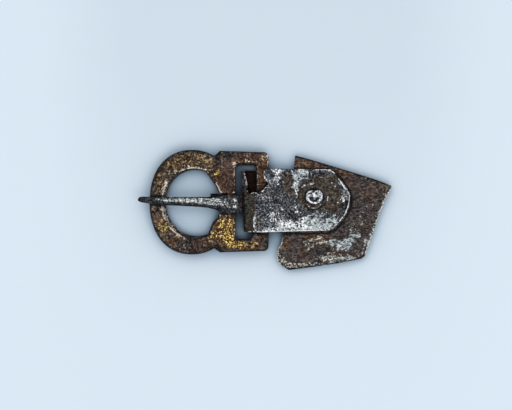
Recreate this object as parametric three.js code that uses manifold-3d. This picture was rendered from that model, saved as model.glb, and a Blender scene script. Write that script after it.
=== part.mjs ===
// Iron belt buckle, lying on its back: a frame with an oval ring and a slotted loop plate,
// a tongue wrapped round the frame's middle bar, and a folded sheet plate on the end bar,
// riveted through a torn piece of backing plate.
// Millimetres, +Z up, +X from the tongue's tip towards the belt, Y across the belt.
// Shapes are drawn from the middle of the end bar, and the whole is centred at the end.

import * as THREE from 'three';
import { mergeVertices } from 'three/addons/utils/BufferGeometryUtils.js';
import Module from 'manifold-3d';

const wasm = await Module();
wasm.setup();

// Fits
const runningClearance = 0.15;
const sideClearance = 0.3;
const foldClearance = 0.1;
const passingGap = 0.13;
const sheetGap = 0.05;
const restGap = 0.05;
const overrun = 1;

// Frame, ring
const frameTop = 4.2;
const ringHalfLength = 12.7;
const ringHalfWidth = 15.7;
const ringOvalPower = 2.2;
const ringToBar = 21.1;
const ringDrop = 0.35;
const frameEdge = 0.45;
const openingHalfLength = 9.1;
const openingHalfWidth = 9.9;
const openingShift = 1.2;
const openingDrop = 0.25;
const openingLean = 0.25;
const openingBevelWidth = 0.75;
const openingBevelDepth = 1.5;
const openingBevelShift = 0.25;

// Frame, loop plate
const loopPlateStart = 12.7;
const loopPlateArm = 4.125;
const loopPlateTaper = 0.42;
const loopPlateThickness = 2.7;
const loopPlateCorner = 1.4;
const neckLength = 1.7;
const reliefSlope = 1.5;
const endBarThinning = 0.3;
const endBarCorner = 0.8;
const barEase = 0.05;
const slotTopSpare = 1.29;
const slotBottomSpare = 1.94;
const slotFilletLength = 1.4;
const slotFilletWidth = 2.3;
const slotBevelWidth = 0.65;
const slotBevelDepth = 1.4;

// Tongue and its seat on the middle bar
const seatSetback = 0.19;
const seatEmbed = 0.8;
const tongueWall = 1.25;
const tongueLoopStretch = 0.69;
const tongueOverhang = 3.44;
const tongueBaseTop = 1.75;
const tongueBaseBottom = 3.75;
const tongueBaseCorner = 1.5;
const tongueThickness = 1.8;
const tongueRootRise = 0.1;
const tailReach = 6.05;
const tailTop = 2;
const tailWidth = 3.3;
const tailThickness = 1;

// Folded buckle plate
const sheet = 0.85;
const foldReach = 6.02;
const foldSkewShare = 0.0486;
const strapWidth = 19.02;
const plateShift = 0.15;
const plateTopCut = 0.55;
const plateTopRun = 2.2;
const plateReach = 26.4;
const plateSlopeStart = 0.5;
const plateSlopeEnd = 9.2;
const plateEndLength = 6;
const tearLength = 7.6;
const tearDepth = 8.2;
const tearInset = 0.37;

// Rivet, washer and backing plate
const rivetToBar = 15.57;
const rivetRise = 1.2;
const rivetShaftRadius = 1;
const rivetHeadHalfLength = 2.6;
const rivetHeadHalfWidth = 2.14;
const rivetHeadHeight = 1.15;
const rivetTailRadius = 1.9;
const rivetTailHeight = 0.8;
const washerRadius = 2.5;
const washerThickness = 0.35;
const washerShift = 0.15;
const washerDrop = 0.96;
const backingThickness = 0.9;
const backingLength = 34.3;
const backingWidth = 33.9;

// Outlines, as shares of the sizes above, chosen by hand
const openingBarSideShares = [
  [0.41, -0.89], [0.55, -0.58], [0.73, -0.4], [0.78, 0.25], [0.68, 0.47], [0.51, 0.7],
];
const openingArcStartShare = 0.389;
const openingArcEndShare = 1.635;
const tongueLevelShare = 0.3;
const tongueFacetShare = 0.24;
const tongueSideShare = 0.45;
const tongueEdgeShare = 0.15;
// Along the arm: its reach, its top side, its bottom side, its thickness
const armShares = [
  [0, 1, 1, 0.7], [0.05, 1, 1, 0.72], [0.11, 0.9, 0.89, 0.76], [0.165, 0.78, 0.69, 0.82],
  [0.24, 0.73, 0.56, 0.88], [0.34, 0.72, 0.49, 0.95], [0.47, 0.72, 0.43, 1], [0.7, 0.73, 0.34, 0.97],
  [0.8, 0.75, 0.27, 0.92], [0.88, 0.76, 0.21, 0.84], [0.945, 0.77, 0.14, 0.72], [0.98, 0.72, 0.07, 0.6],
  [1, 0.5, 0, 0.42],
];
const plateEndShares = [
  [-0.07, -0.95], [0.18, -0.865], [0.38, -0.72], [0.58, -0.59], [0.8, -0.395], [0.925, -0.19], [0.97, 0.01],
  [1, 0.21], [0.85, 0.39], [0.7, 0.54], [0.43, 0.71], [0.23, 0.87], [0.03, 0.97], [-0.1, 0.985],
];
const tearShares = [
  [0.02, -0.3], [0.06, 0.146], [0.12, 0.38], [0.163, 0.59], [0.14, 0.79], [0.254, 0.915], [0.43, 0.83],
  [0.554, 0.89], [0.645, 0.966], [0.716, 0.9], [0.68, 0.845], [0.81, 0.73], [1, 0.55], [0.82, 0.38],
  [0.775, 0.2], [0.81, 0.05], [0.83, -0.3],
];
const backingShares = [
  [-0.167, 0.368], [-0.177, 0.259], [-0.272, -0.321], [-0.278, -0.365], [-0.29, -0.417],
  [-0.306, -0.439], [-0.326, -0.467], [-0.322, -0.51], [-0.327, -0.548], [-0.318, -0.575],
  [-0.297, -0.595], [-0.271, -0.616], [-0.225, -0.648], [-0.007, -0.619], [0.243, -0.582],
  [0.422, -0.544], [0.443, -0.536], [0.452, -0.496], [0.464, -0.465], [0.516, -0.319], [0.571, -0.151],
  [0.625, -0.019], [0.676, 0.081], [0.677, 0.103], [0.52, 0.161], [0.25, 0.246], [-0.049, 0.337],
];
const headTopShares = [
  [0.97, 0.3], [0.8, 0.84], [0.45, 1], [0.06, 0.88], [-0.32, 0.98], [-0.72, 0.84], [-0.95, 0.36],
];
const headDomeShares = [[1, 0], [0.97, 0.25], [0.86, 0.58], [0.66, 0.82], [0.36, 0.96], [0, 1]];

// Sizes that follow from the ones above
const barHeight = frameTop - loopPlateThickness / 2;
const foldRadius = barHeight;
const foldInner = foldRadius - sheet;
const endBarHalfLength = foldInner - foldClearance;
const seatRadius = loopPlateThickness / 2 - barEase;
const tongueInner = seatRadius + runningClearance;
const tongueOuter = tongueInner + tongueWall;
const seatToBar = foldReach + passingGap + tongueLoopStretch + tongueOuter;
const slotLeft = seatRadius + seatSetback - seatToBar;
const tongueReach = ringToBar + ringHalfLength - seatToBar + tongueOverhang;
const plateTopSide = strapWidth / 2 + plateShift;
const plateBottomSide = strapWidth / 2 - plateShift;
const slotTopSide = plateTopSide + slotTopSpare;
const slotBottomSide = plateBottomSide + slotBottomSpare;
const loopPlateDrop = (slotBottomSide - slotTopSide) / 2;
const loopPlateHalfWidth = (slotBottomSide + slotTopSide) / 2 + loopPlateArm;
const frameMiddle = -ringToBar;
const openingCentreX = frameMiddle + openingShift;
const openingCentreY = -ringDrop - openingDrop;
const loopPlateBottom = frameTop - loopPlateThickness;
const foldCentreX = foldRadius - foldReach;
const lowerLeafBottom = rivetTailHeight;
const backingBottom = lowerLeafBottom + sheet + sheetGap;
const upperLeafBottom = backingBottom + backingThickness + sheetGap;
const upperLeafTop = upperLeafBottom + sheet;
const rivetHoleRadius = rivetShaftRadius + runningClearance;
const headSeat = upperLeafTop + washerThickness;
const cutBottom = -overrun;
const cutTop = 2 * barHeight + overrun;
const quarterTurn = Math.PI / 2;
const arcSteps = 12;
const roundSides = 32;

// Closed solids from three.js geometry
function solidFrom(geometry) {
  const bare = geometry.clone();
  bare.deleteAttribute('normal');
  bare.deleteAttribute('uv');
  const merged = mergeVertices(bare);
  const corners = merged.index.array;
  const kept = [];
  for (let i = 0; i < corners.length; i += 3) {
    const [a, b, c] = [corners[i], corners[i + 1], corners[i + 2]];
    if (a !== b && b !== c && c !== a) kept.push(a, b, c);
  }
  const vertProperties = new Float32Array(merged.attributes.position.array);
  const triVerts = new Uint32Array(kept);
  return new wasm.Manifold(new wasm.Mesh({ numProp: 3, vertProperties, triVerts }));
}

function geometryFrom(solid) {
  const mesh = solid.getMesh();
  const geometry = new THREE.BufferGeometry();
  geometry.setAttribute('position', new THREE.BufferAttribute(mesh.vertProperties, 3));
  geometry.setIndex(new THREE.BufferAttribute(mesh.triVerts, 1));
  geometry.computeVertexNormals();
  return geometry;
}

// A plan outline raised along Z from bottom to top
function raised(shape, bottom, top) {
  const geometry = new THREE.ExtrudeGeometry(shape, { depth: top - bottom, bevelEnabled: false });
  geometry.translate(0, 0, bottom);
  return solidFrom(geometry);
}

// A side outline, drawn as X and height, drawn out along Y between two sides
function drawnAcross(shape, low, high) {
  const geometry = new THREE.ExtrudeGeometry(shape, { depth: high - low, bevelEnabled: false });
  geometry.rotateX(quarterTurn);
  geometry.translate(0, high, 0);
  return solidFrom(geometry);
}

function arc(centreX, centreY, radius, from, to, steps = arcSteps) {
  const points = [];
  for (let i = 0; i <= steps; i += 1) {
    const angle = from + (to - from) * i / steps;
    points.push(new THREE.Vector2(centreX + radius * Math.cos(angle), centreY + radius * Math.sin(angle)));
  }
  return points;
}

function circle(centreX, centreY, radius) {
  return new THREE.Shape(arc(centreX, centreY, radius, 0, 2 * Math.PI, roundSides).slice(1));
}

function rectangle(left, right, low, high) {
  const corners = [[left, low], [right, low], [right, high], [left, high]];
  return new THREE.Shape(corners.map(([x, y]) => new THREE.Vector2(x, y)));
}

function fromShares(shares, originX, originY, lengthX, lengthY) {
  return shares.map(([x, y]) => new THREE.Vector2(originX + x * lengthX, originY + y * lengthY));
}

// Frame
function ringOutline() {
  const power = 2 / ringOvalPower;
  const neckShare = (ringToBar - loopPlateStart - neckLength) / ringHalfLength;
  const start = Math.acos(Math.pow(neckShare, 1 / power));
  const points = [];
  const steps = 4 * arcSteps;
  for (let i = 0; i <= steps; i += 1) {
    const angle = start + (2 * Math.PI - 2 * start) * i / steps;
    const x = Math.sign(Math.cos(angle)) * Math.pow(Math.abs(Math.cos(angle)), power);
    const y = Math.sign(Math.sin(angle)) * Math.pow(Math.abs(Math.sin(angle)), power);
    points.push(new THREE.Vector2(frameMiddle + ringHalfLength * x, -ringDrop + ringHalfWidth * y));
  }
  return points;
}

function frameOutline() {
  const endHalfWidth = loopPlateHalfWidth - loopPlateTaper;
  const cornerX = endBarHalfLength - loopPlateCorner;
  const cornerY = endHalfWidth - loopPlateCorner;
  const cornerSteps = 4;
  return [
    ...ringOutline(),
    new THREE.Vector2(-loopPlateStart, -loopPlateHalfWidth - loopPlateDrop),
    ...arc(cornerX, -cornerY - loopPlateDrop, loopPlateCorner, -quarterTurn, 0, cornerSteps),
    ...arc(cornerX, cornerY - loopPlateDrop, loopPlateCorner, 0, quarterTurn, cornerSteps),
    new THREE.Vector2(-loopPlateStart, loopPlateHalfWidth - loopPlateDrop),
  ];
}

function openingOutline() {
  const points = fromShares(
    openingBarSideShares, openingCentreX, openingCentreY, openingHalfLength, openingHalfWidth,
  );
  const steps = 3 * arcSteps;
  for (let i = 0; i <= steps; i += 1) {
    const turn = openingArcStartShare + (openingArcEndShare - openingArcStartShare) * i / steps;
    const angle = turn * Math.PI;
    points.push(new THREE.Vector2(
      openingCentreX + openingHalfLength * Math.cos(angle) - openingLean * Math.sin(angle),
      openingCentreY + openingHalfWidth * Math.sin(angle),
    ));
  }
  return points;
}

function slotOutline() {
  const right = -endBarHalfLength;
  return [
    [slotLeft, slotTopSide],
    [slotLeft, -slotBottomSide],
    [right - slotFilletLength, -slotBottomSide],
    [right - slotFilletLength / 2, slotFilletWidth / 2 - slotBottomSide],
    [right, slotFilletWidth - slotBottomSide],
    [right, slotTopSide],
  ].map(([x, y]) => new THREE.Vector2(x, y));
}

// Cuts a slope from the ring's top face down into its opening
function openingBevel() {
  const geometry = new THREE.ExtrudeGeometry(new THREE.Shape(openingOutline()), {
    depth: overrun,
    bevelSize: openingBevelWidth,
    bevelThickness: openingBevelDepth,
    bevelSegments: 1,
  });
  geometry.translate(-openingBevelShift, -openingBevelShift, frameTop);
  return solidFrom(geometry);
}

// Cuts the slope along the slot's bottom side
function slotBevel() {
  const grade = slotBevelWidth / slotBevelDepth;
  const side = [
    [overrun - slotBottomSide, frameTop - slotBevelDepth],
    [-slotBottomSide, frameTop - slotBevelDepth],
    [-slotBottomSide - slotBevelWidth, frameTop],
    [-slotBottomSide - slotBevelWidth - overrun * grade, frameTop + overrun],
    [overrun - slotBottomSide, frameTop + overrun],
  ];
  const shape = new THREE.Shape(side.map(([y, z]) => new THREE.Vector2(y, z)));
  const length = -endBarHalfLength - slotFilletLength - slotLeft;
  const geometry = new THREE.ExtrudeGeometry(shape, { depth: length, bevelEnabled: false });
  geometry.rotateX(quarterTurn);
  geometry.rotateZ(quarterTurn);
  geometry.translate(slotLeft, 0, 0);
  return solidFrom(geometry);
}

function reliefUnderLoopPlate() {
  const start = -loopPlateStart - neckLength;
  return drawnAcross(new THREE.Shape([
    new THREE.Vector2(start - reliefSlope, -overrun),
    new THREE.Vector2(start - reliefSlope, 0),
    new THREE.Vector2(start, loopPlateBottom),
    new THREE.Vector2(endBarHalfLength + overrun, loopPlateBottom),
    new THREE.Vector2(endBarHalfLength + overrun, -overrun),
  ]), -ringHalfWidth - overrun, ringHalfWidth + overrun);
}

function seatRod(low, high) {
  return drawnAcross(circle(-seatToBar, barHeight, seatRadius), low - seatEmbed, high + seatEmbed);
}

function endBarRod(low, high) {
  const cornerX = endBarHalfLength - barEase - endBarCorner;
  const cornerZ = loopPlateThickness / 2 - endBarThinning - endBarCorner;
  const cornerSteps = 4;
  const section = [
    ...arc(cornerX, barHeight + cornerZ, endBarCorner, 0, quarterTurn, cornerSteps),
    ...arc(-cornerX, barHeight + cornerZ, endBarCorner, quarterTurn, Math.PI, cornerSteps),
    ...arc(-cornerX, barHeight - cornerZ, endBarCorner, Math.PI, 3 * quarterTurn, cornerSteps),
    ...arc(cornerX, barHeight - cornerZ, endBarCorner, 3 * quarterTurn, 4 * quarterTurn, cornerSteps),
  ];
  return drawnAcross(new THREE.Shape(section), low - seatEmbed, high + seatEmbed);
}

function makeFrame() {
  const outline = new THREE.Shape(frameOutline());
  outline.holes.push(new THREE.Path(openingOutline()), new THREE.Path(slotOutline()));
  const geometry = new THREE.ExtrudeGeometry(outline, {
    depth: frameTop - 2 * frameEdge,
    bevelSize: frameEdge,
    bevelThickness: frameEdge,
    bevelOffset: -frameEdge,
    bevelSegments: 2,
  });
  geometry.translate(0, 0, frameEdge);

  const seatLow = -tongueBaseBottom - sideClearance;
  const seatHigh = tailTop + sideClearance;
  const seatGap = rectangle(openingCentreX, slotLeft + overrun, seatLow, seatHigh);
  const foldLow = -plateBottomSide - sideClearance;
  const foldHigh = plateTopSide + sideClearance;
  const foldGap = rectangle(-endBarHalfLength - overrun, endBarHalfLength + overrun, foldLow, foldHigh);
  return solidFrom(geometry)
    .subtract(openingBevel())
    .subtract(slotBevel())
    .subtract(reliefUnderLoopPlate())
    .subtract(raised(seatGap, cutBottom, cutTop))
    .subtract(raised(foldGap, cutBottom, cutTop))
    .add(seatRod(seatLow, seatHigh))
    .add(endBarRod(foldLow, foldHigh));
}

// A closed body through rings of equally many points, which run clockwise as the next ring sees them
function lofted(rings) {
  const count = rings[0].length;
  const positions = rings.flat().flatMap((point) => [point.x, point.y, point.z]);
  const index = [];
  for (let ring = 0; ring + 1 < rings.length; ring += 1) {
    for (let i = 0; i < count; i += 1) {
      const here = ring * count + i;
      const next = ring * count + (i + 1) % count;
      index.push(here, next + count, next, here, here + count, next + count);
    }
  }
  const last = (rings.length - 1) * count;
  for (let i = 1; i + 1 < count; i += 1) {
    index.push(0, i, i + 1);
    index.push(last, last + i + 1, last + i);
  }
  const geometry = new THREE.BufferGeometry();
  geometry.setAttribute('position', new THREE.BufferAttribute(new Float32Array(positions), 3));
  geometry.setIndex(index);
  return solidFrom(geometry);
}

// Tongue, drawn from the middle of its seat; the arm has a flat ridge between two long facets
function armSection(reachShare, topShare, bottomShare, thicknessShare) {
  const x = -seatToBar - reachShare * tongueReach;
  const high = topShare * tongueBaseTop;
  const low = -bottomShare * tongueBaseBottom;
  const thickness = thicknessShare * tongueThickness;
  const riseShare = Math.max(0, 1 - reachShare / tongueLevelShare);
  const under = frameTop + restGap + riseShare * tongueRootRise;
  const over = under + thickness;
  const facet = (high - low) * tongueFacetShare;
  const side = under + thickness * tongueSideShare;
  const edge = thickness * tongueEdgeShare;
  return [
    [low + edge, under], [high - edge, under], [high, under + edge], [high, side],
    [high - facet, over], [low + facet, over], [low, side], [low, under + edge],
  ].map(([y, z]) => new THREE.Vector3(x, y, z));
}

// The wrapped end from the side: over the seat, round it, and back up under the arm as a tail
function loopSide() {
  const across = Math.SQRT1_2;
  const tailUp = tongueInner - runningClearance - restGap;
  const tailUnder = tailUp - tailThickness;
  return new THREE.Shape([
    [-tongueWall, tongueOuter],
    [-tongueWall, tongueInner],
    ...arc(tongueLoopStretch, 0, tongueInner, quarterTurn, -quarterTurn).map((p) => [p.x, p.y]),
    [0, -tongueInner],
    [-tongueInner * across, -tongueInner * across],
    [-tongueInner - tongueWall / 2, tailUnder / 2],
    [-tongueOuter - tailThickness / 4, tailUp],
    [-tailReach, tailUp - tailThickness / 4],
    [-tailReach, tailUnder],
    [-tongueOuter - tailThickness, tailUnder],
    [-tongueOuter * across - tailThickness / 2, -tongueOuter * across + tailThickness / 2],
    [-tongueInner * across, -tongueOuter + tailThickness / 4],
    ...arc(tongueLoopStretch, 0, tongueOuter, -quarterTurn, quarterTurn).map((p) => [p.x, p.y]),
  ].map(([x, z]) => new THREE.Vector2(x - seatToBar, z + barHeight)));
}

function loopPlan() {
  const cornerSteps = 5;
  const cornerX = tongueLoopStretch + tongueOuter - seatToBar - tongueBaseCorner;
  const cornerHigh = tongueBaseTop - tongueBaseCorner;
  const cornerLow = tongueBaseCorner - tongueBaseBottom;
  const tailStart = -seatToBar - tongueOuter;
  const tailEnd = -seatToBar - tailReach - overrun;
  return new THREE.Shape([
    ...arc(cornerX, cornerHigh, tongueBaseCorner, 0, quarterTurn, cornerSteps),
    new THREE.Vector2(tailStart, tongueBaseTop),
    new THREE.Vector2(tailStart, tailTop),
    new THREE.Vector2(tailEnd, tailTop),
    new THREE.Vector2(tailEnd, tailTop - tailWidth),
    new THREE.Vector2(tailStart, tailTop - tailWidth),
    new THREE.Vector2(-seatToBar - tongueInner, -tongueBaseBottom),
    ...arc(cornerX, cornerLow, tongueBaseCorner, -quarterTurn, 0, cornerSteps),
  ]);
}

function makeTongue() {
  const arm = lofted(armShares.map((row) => armSection(...row)));
  const band = drawnAcross(loopSide(), -ringHalfWidth, ringHalfWidth);
  return arm.add(band.intersect(raised(loopPlan(), cutBottom, cutTop)));
}

// Buckle plate: one sheet bent round the end bar, its two leaves closing on the backing plate
function plateSide() {
  const end = plateReach + overrun;
  const face = (fold, lower, upper) => [
    new THREE.Vector2(end, lower),
    new THREE.Vector2(plateSlopeEnd, lower),
    new THREE.Vector2(plateSlopeStart, barHeight - fold),
    ...arc(foldCentreX, barHeight, fold, -quarterTurn, -3 * quarterTurn, 2 * arcSteps),
    new THREE.Vector2(plateSlopeStart, barHeight + fold),
    new THREE.Vector2(plateSlopeEnd, upper),
    new THREE.Vector2(end, upper),
  ];
  const outside = face(foldRadius, lowerLeafBottom, upperLeafTop);
  const inside = face(foldInner, lowerLeafBottom + sheet, upperLeafBottom);
  return new THREE.Shape([...outside, ...inside.reverse()]);
}

function platePlan() {
  const endStart = plateReach - plateEndLength;
  const end = plateEndShares.map(([x, y]) => new THREE.Vector2(
    endStart + x * plateEndLength, y * (y > 0 ? plateTopSide : plateBottomSide),
  ));
  const left = -foldReach - overrun;
  return new THREE.Shape([
    new THREE.Vector2(left, -plateBottomSide),
    new THREE.Vector2(0, -plateBottomSide),
    ...end,
    new THREE.Vector2(plateTopRun, plateTopSide),
    new THREE.Vector2(0, plateTopSide - plateTopCut),
    new THREE.Vector2(left, plateTopSide - plateTopCut),
  ]);
}

function makePlate() {
  const geometry = new THREE.ExtrudeGeometry(plateSide(), { depth: 2 * ringHalfWidth, bevelEnabled: false });
  geometry.rotateX(quarterTurn);
  geometry.translate(0, ringHalfWidth, 0);
  geometry.applyMatrix4(new THREE.Matrix4().makeShear(0, 0, -foldSkewShare, 0, 0, 0));
  const tear = fromShares(tearShares, tearInset - foldReach, plateTopSide, tearLength, -tearDepth);
  return solidFrom(geometry)
    .intersect(raised(platePlan(), cutBottom, cutTop))
    .subtract(raised(new THREE.Shape(tear), barHeight + sheet, cutTop))
    .subtract(rivetHole());
}

function rivetHole() {
  return raised(circle(rivetToBar, rivetRise, rivetHoleRadius), cutBottom, cutTop);
}

// Backing plate, the torn piece that the leaves hold; it turns on the rivet
function makeBacking() {
  const outline = fromShares(backingShares, rivetToBar, rivetRise, backingLength, backingWidth);
  const plate = raised(new THREE.Shape(outline), backingBottom, backingBottom + backingThickness);
  return plate.subtract(rivetHole());
}

// Washer, a thin round of sheet slipped down behind the rivet's head
function makeWasher() {
  const disc = circle(rivetToBar - washerShift, rivetRise - washerDrop, washerRadius);
  return raised(disc, upperLeafTop, headSeat).subtract(rivetHole());
}

// Rivet: a hammered tail below, a shaft, and a domed head with a flattened top edge
function makeRivet() {
  const tailEdge = rivetTailHeight / 4;
  const profile = [
    [0, 0],
    [rivetTailRadius - tailEdge, 0],
    [rivetTailRadius, tailEdge],
    [rivetTailRadius - tailEdge, rivetTailHeight],
    [rivetShaftRadius, rivetTailHeight],
    [rivetShaftRadius, headSeat],
    ...headDomeShares.map(([r, h]) => [r * rivetHeadHalfLength, headSeat + h * rivetHeadHeight]),
  ];
  const geometry = new THREE.LatheGeometry(profile.map(([r, z]) => new THREE.Vector2(r, z)), roundSides);
  geometry.rotateX(quarterTurn);
  geometry.translate(rivetToBar, rivetRise, 0);
  const bottomShares = arc(0, 0, 1, Math.PI, 2 * Math.PI).map((p) => [p.x, p.y]);
  const planShares = [...headTopShares, ...bottomShares];
  const plan = fromShares(planShares, rivetToBar, rivetRise, rivetHeadHalfLength, rivetHeadHalfWidth);
  return solidFrom(geometry).intersect(raised(new THREE.Shape(plan), cutBottom, headSeat + rivetHeadHeight));
}

// Finishes, read from the photographed object
const finishes = {
  gildedIron: new THREE.MeshStandardMaterial({ color: 0x5b4632, roughness: 0.6, metalness: 0.6 }),
  wornIron: new THREE.MeshStandardMaterial({ color: 0x5a5654, roughness: 0.5, metalness: 0.7 }),
  rustySheet: new THREE.MeshStandardMaterial({ color: 0x6a6360, roughness: 0.65, metalness: 0.5 }),
  brownSheet: new THREE.MeshStandardMaterial({ color: 0x54433b, roughness: 0.75, metalness: 0.4 }),
  brightSteel: new THREE.MeshStandardMaterial({ color: 0xb4b4b2, roughness: 0.35, metalness: 0.9 }),
};

const pieces = {
  frame: [makeFrame(), finishes.gildedIron],
  tongue: [makeTongue(), finishes.wornIron],
  buckle_plate: [makePlate(), finishes.rustySheet],
  backing_plate: [makeBacking(), finishes.brownSheet],
  rivet_washer: [makeWasher(), finishes.rustySheet],
  rivet: [makeRivet(), finishes.brightSteel],
};

const buckle = new THREE.Group();
for (const [name, [solid, finish]] of Object.entries(pieces)) {
  const mesh = new THREE.Mesh(geometryFrom(solid), finish);
  mesh.name = name;
  buckle.add(mesh);
}

// The origin is the middle of the whole, on the surface that it lies on
const bounds = new THREE.Box3().setFromObject(buckle);
const middle = bounds.getCenter(new THREE.Vector3());
buckle.position.set(-middle.x, -middle.y, -bounds.min.z);
buckle.updateMatrixWorld(true);

export default buckle;
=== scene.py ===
"""Looks for the iron belt buckle: worn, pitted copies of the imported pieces, with old gilding."""

import bpy
import numpy as np
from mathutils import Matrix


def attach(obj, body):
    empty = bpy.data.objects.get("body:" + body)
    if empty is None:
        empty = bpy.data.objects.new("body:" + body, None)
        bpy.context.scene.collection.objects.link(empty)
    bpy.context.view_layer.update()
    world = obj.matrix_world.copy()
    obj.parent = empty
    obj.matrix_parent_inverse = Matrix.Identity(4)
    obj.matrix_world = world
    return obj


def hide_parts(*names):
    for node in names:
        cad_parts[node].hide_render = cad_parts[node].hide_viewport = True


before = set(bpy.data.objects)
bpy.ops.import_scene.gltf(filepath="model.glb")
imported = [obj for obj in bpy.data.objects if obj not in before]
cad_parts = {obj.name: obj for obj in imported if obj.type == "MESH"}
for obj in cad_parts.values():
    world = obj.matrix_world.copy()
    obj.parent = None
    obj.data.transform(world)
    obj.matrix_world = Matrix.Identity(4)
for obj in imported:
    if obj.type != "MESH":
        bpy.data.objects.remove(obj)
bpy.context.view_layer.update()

# The photograph looks straight down, 0.3 mm a pixel, and this pixel lies over the origin
PIXEL_MM = 0.3
ORIGIN_PIXEL = (264.885, 210.029)
PHOTO_CENTRE = (256, 205)
MM = 0.001

CAMERA_LENS = 120
CAMERA_SENSOR = 36
CAMERA_FOCUS_HEIGHT_MM = 2.5
CAMERA_CLIP_M = (0.01, 10)
PHOTO_WIDTH = 512


def srgb(red, green, blue):
    """A linear colour from the 0 to 255 values of a picture"""
    channels = [value / 255 for value in (red, green, blue)]
    return [c / 12.92 if c <= 0.04045 else ((c + 0.055) / 1.055) ** 2.4 for c in channels] + [1]


def add_object(name, data):
    made = bpy.data.objects.new(name, data)
    bpy.context.scene.collection.objects.link(made)
    return made


def make_camera():
    data = bpy.data.cameras.new("camera")
    data.lens = CAMERA_LENS
    data.sensor_width = CAMERA_SENSOR
    camera = add_object("camera", data)
    distance = PHOTO_WIDTH * PIXEL_MM * CAMERA_LENS / CAMERA_SENSOR
    camera.location = (
        (PHOTO_CENTRE[0] - ORIGIN_PIXEL[0]) * PIXEL_MM * MM,
        (ORIGIN_PIXEL[1] - PHOTO_CENTRE[1]) * PIXEL_MM * MM,
        (distance + CAMERA_FOCUS_HEIGHT_MM) * MM,
    )
    data.clip_start, data.clip_end = CAMERA_CLIP_M
    bpy.context.scene.camera = camera


make_camera()


# Seeded noise and marks on points, in millimetres

NOISE_CELLS = 256
NOISE_GAIN = 1.6


def gradient_noise(points, seed):
    """Smooth noise in space, about -1 to 1, with features one unit across"""
    rng = np.random.default_rng(seed)
    table = rng.permutation(NOISE_CELLS)
    slopes = rng.normal(size=(NOISE_CELLS, 3))
    slopes /= np.linalg.norm(slopes, axis=1)[:, None]
    cell = np.floor(points).astype(int)
    local = points - cell
    fade = local**3 * (local * (local * 6 - 15) + 10)
    total = np.zeros(len(points))
    for corner in np.ndindex(2, 2, 2):
        key = 0
        for place in (cell + corner).T:
            key = table[(key + place) % NOISE_CELLS]
        weight = np.prod(np.where(corner, fade, 1 - fade), axis=1)
        total += weight * np.sum(slopes[key] * (local - corner), axis=1)
    return total * NOISE_GAIN


def grain(points, size, octaves, seed):
    """Noise of several sizes, the largest with features of that size in millimetres"""
    total = np.zeros(len(points))
    for octave in range(octaves):
        total += gradient_noise(points * 2**octave / size, seed + octave) / 2**octave
    return total


def step(low, high, value):
    """0 below low, 1 above high, smooth between them"""
    share = np.clip((value - low) / (high - low), 0, 1)
    return share * share * (3 - 2 * share)


def in_photo(points):
    """The photograph's pixel over each point"""
    return ORIGIN_PIXEL[0] + points[:, 0] / PIXEL_MM, ORIGIN_PIXEL[1] - points[:, 1] / PIXEL_MM


# The noise that makes outlines ragged, and the shares of a mark's half width between which it fades
BLOT_GRAIN_MM = 1.6
BLOT_FADE = (0.55, 1.25)
STREAK_GRAIN_MM = 1.0
STREAK_FADE = (0.4, 1.3)
DOWN_SEED = 50


def in_ragged_photo(points, size, ragged, seed):
    """The photograph's pixel over each point, moved by up to some pixels of noise"""
    across, down = in_photo(points)
    return (
        across + ragged * grain(points, size, 2, seed),
        down + ragged * grain(points, size, 2, seed + DOWN_SEED),
    )


def blots(points, spots, ragged=2.2, seed=11):
    """The strongest of some soft ragged ovals at each point: pixel x and y, half sizes, strength"""
    across, down = in_ragged_photo(points, BLOT_GRAIN_MM, ragged, seed)
    total = np.zeros(len(points))
    for x, y, half_x, half_y, strength in spots:
        distance = np.hypot((across - x) / half_x, (down - y) / half_y)
        total = np.maximum(total, strength * (1 - step(*BLOT_FADE, distance)))
    return total


def streaks(points, lines, ragged=0.7, seed=12):
    """The strongest of some soft ragged lines at each point: half width, strength, its pixels"""
    across, down = in_ragged_photo(points, STREAK_GRAIN_MM, ragged, seed)
    total = np.zeros(len(points))
    for half_width, strength, *path in lines:
        for (x0, y0), (x1, y1) in zip(path, path[1:]):
            run, fall = x1 - x0, y1 - y0
            share = ((across - x0) * run + (down - y0) * fall) / (run * run + fall * fall)
            share = np.clip(share, 0, 1)
            distance = np.hypot(across - x0 - share * run, down - y0 - share * fall) / half_width
            total = np.maximum(total, strength * (1 - step(*STREAK_FADE, distance)))
    return total


def strongest(*marks):
    return np.maximum.reduce(marks)


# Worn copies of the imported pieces

MARKS = ("gilt", "rust", "warm", "dirt_and_shade", "crust", "pale", "worn", "shadow_line", "inside")
WELD_MM = 0.0001
# Each node's voxel in millimetres, and its rounds of easing
MESHING = dict(
    frame=(0.17, 5), tongue=(0.12, 3), buckle_plate=(0.16, 2), backing_plate=(0.16, 2),
    rivet_washer=(0.08, 3), rivet=(0.07, 4),
)
# How far easing moves a point towards its neighbours, and the rounds that show what stands out
EASING = 0.5
EDGE_ROUNDS = 14
WASHER_EDGE_ROUNDS = 6


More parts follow.
